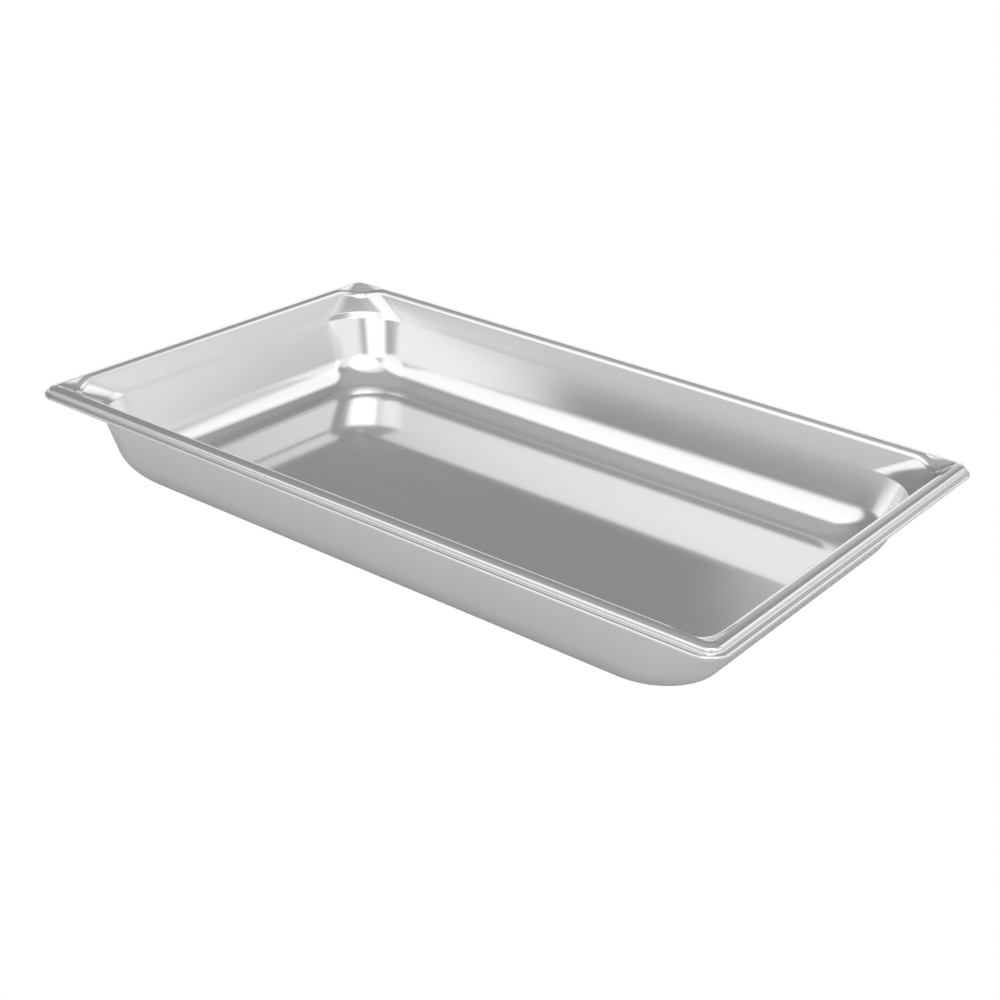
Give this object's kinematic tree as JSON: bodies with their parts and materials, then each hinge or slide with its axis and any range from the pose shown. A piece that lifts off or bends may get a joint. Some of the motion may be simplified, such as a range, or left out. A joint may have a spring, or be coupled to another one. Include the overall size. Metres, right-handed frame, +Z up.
{
  "type": "food pan",
  "caption": "Full-size rectangular stainless steel food pan, drawn from one sheet, with a sloping well, a shoulder and a rolled, flared flange.",
  "frame": {"origin": "middle of the flat underside, on the surface that the pan stands on", "axes": "+X along the length, +Y along the width, +Z up out of the mouth"},
  "size_m": [0.53, 0.325, 0.065],
  "materials": {
    "stainless_steel": "bright satin stainless steel, polished floor"
  },
  "bodies": {
    "root": {"pan": "stainless_steel"}
  },
  "joints": []
}
